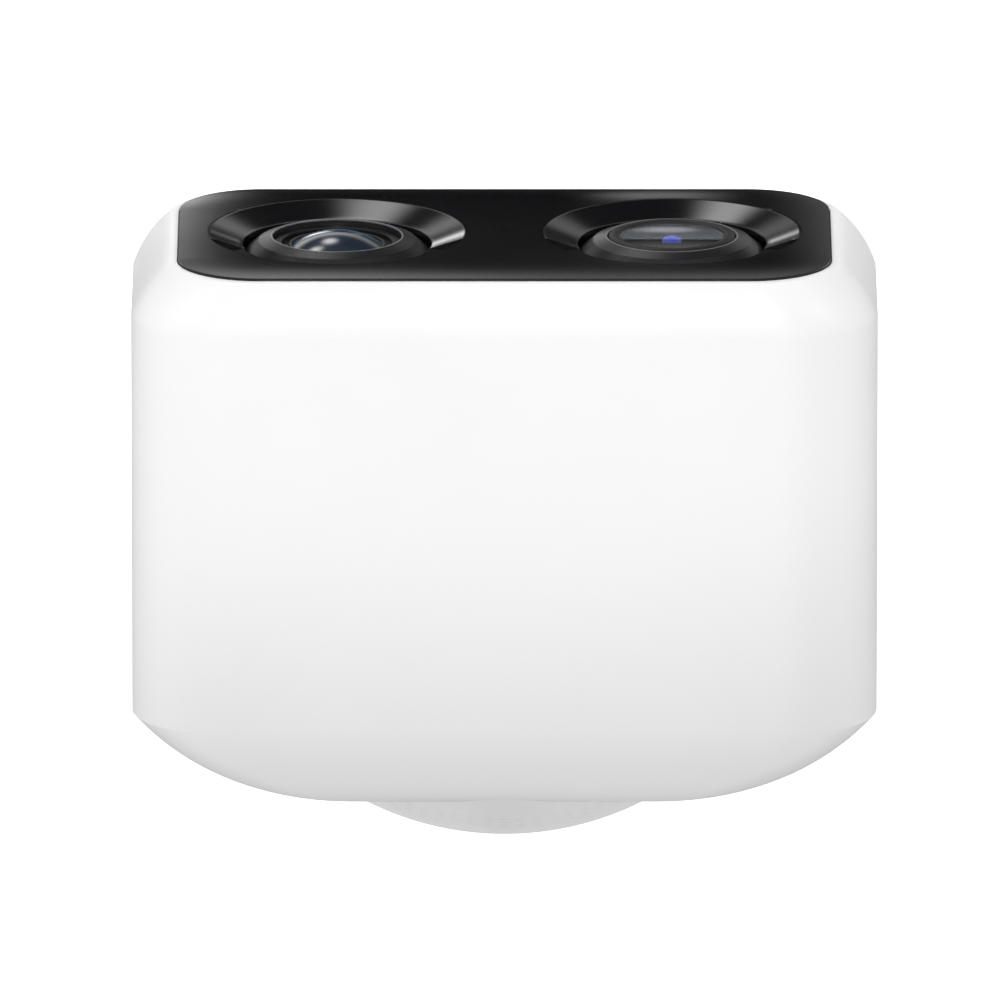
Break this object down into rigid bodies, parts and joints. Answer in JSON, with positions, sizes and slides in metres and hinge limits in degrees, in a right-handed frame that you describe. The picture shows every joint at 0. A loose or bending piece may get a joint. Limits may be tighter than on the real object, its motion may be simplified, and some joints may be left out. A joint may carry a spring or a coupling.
{
  "type": "floodlight security camera",
  "caption": "White pebble-shaped twin-lens camera head with light arcs around its lenses, on a tilting, turning neck and a round junction-box base.",
  "frame": {"origin": "centre of the round base's flat mounting face", "axes": "+Z away from the mounting face along the turning axis, -Y the way the lens panel looks, +X to the right seen from the front"},
  "size_m": [0.1486, 0.1433, 0.122],
  "materials": {
    "housing_white": "fine satin moulded plastic",
    "base_white": "fine satin moulded plastic",
    "neck_white": "white powder coat on die-cast metal",
    "flap_white": "matt silicone",
    "panel_black": "glossy black",
    "reflector_black": "mirror-smooth black",
    "bezel_charcoal": "fine spark-eroded texture, satin",
    "barrel_black": "matt black",
    "seal_rubber": "matt",
    "lens_glass": "coated, blue reflection",
    "cover_glass": "flat, coated",
    "smoked_window": "smoked, polished",
    "light_yellow": "phosphor cap",
    "light_board_white": "white solder mask on aluminium",
    "board_green": "solder mask",
    "screw_steel": "plated",
    "screw_black": "black oxide",
    "bracket_steel": "zinc plated",
    "heat_aluminium": "extruded",
    "chip_black": "moulded",
    "pad_blue": "soft",
    "sensor_glass": "glass-covered chip",
    "frame_grey": "moulded",
    "back_grey": "moulded",
    "parts_mixed": "wound and potted parts",
    "terminal_orange": "moulded",
    "siren_black": "moulded",
    "bush_ivory": "machined acetal",
    "antenna_amber": "flexible board",
    "socket_steel": "pressed",
    "card_black": "moulded",
    "button_grey": "moulded"
  },
  "bodies": {
    "base": {"base_cover": "base_white", "base_back": "back_grey", "base_gasket": "seal_rubber", "mounting_bracket": "bracket_steel", "base_screws": "screw_black", "back_screws": "screw_steel", "cable_grommet": "seal_rubber", "driver_board": "board_green", "driver_parts": "parts_mixed", "terminal_block": "terminal_orange", "siren": "siren_black", "pan_bush": "bush_ivory"},
    "neck": {"neck_yoke": "neck_white", "pan_washer": "screw_steel", "pan_retainer": "bracket_steel", "retainer_screws": "screw_black", "hinge_bolt": "screw_black", "lock_nut": "screw_steel", "tilt_washers": "bush_ivory"},
    "head": {"housing": "housing_white", "hinge_block": "neck_white", "hinge_screws": "screw_steel", "pressure_vent": "seal_rubber", "front_panel": "panel_black", "panel_gasket": "seal_rubber", "front_frame": "frame_grey", "frame_screws": "screw_steel", "wide_reflector": "reflector_black", "tele_reflector": "reflector_black", "wide_bezel": "bezel_charcoal", "tele_bezel": "bezel_charcoal", "wide_window": "smoked_window", "tele_window": "smoked_window", "wide_light_board": "light_board_white", "tele_light_board": "light_board_white", "wide_lights": "light_yellow", "tele_lights": "light_yellow", "wide_lens": "lens_glass", "wide_barrel": "barrel_black", "tele_glass": "cover_glass", "tele_seal": "seal_rubber", "tele_barrel": "barrel_black", "sensor_boards": "board_green", "image_sensors": "sensor_glass", "main_board": "board_green", "board_screws": "screw_steel", "board_chips": "chip_black", "thermal_pad": "pad_blue", "heat_spreader": "heat_aluminium", "microphone": "socket_steel", "microphone_seal": "seal_rubber", "antennas": "antenna_amber", "io_board": "board_green", "card_socket": "socket_steel", "reset_switch": "siren_black"},
    "flap": {"rear_flap": "flap_white"},
    "button": {"reset_button": "button_grey"},
    "card": {"memory_card": "card_black"}
  },
  "joints": [
    {"name": "pan", "type": "hinge", "parent": "base", "child": "neck", "pos_m": [0, 0, 0.02], "axis": [0, 0, 1], "range_deg": [-160, 160]},
    {"name": "tilt", "type": "hinge", "parent": "neck", "child": "head", "pos_m": [0, 0, 0.031], "axis": [-1, 0, 0], "range_deg": [-20, 45]},
    {"name": "flap_hinge", "type": "hinge", "parent": "head", "child": "flap", "pos_m": [0, 0.02785, 0.072], "axis": [-1, 0, 0], "range_deg": [0, 90]},
    {"name": "reset_press", "type": "slide", "parent": "head", "child": "button", "axis": [0, -1, 0], "range_m": [0, 0.0008], "stiffness_N_per_m": 800, "springref_m": -0.0004},
    {"name": "card_press", "type": "slide", "parent": "head", "child": "card", "axis": [0, -1, 0], "range_m": [0, 0.0008], "stiffness_N_per_m": 400, "springref_m": -0.0004}
  ]
}
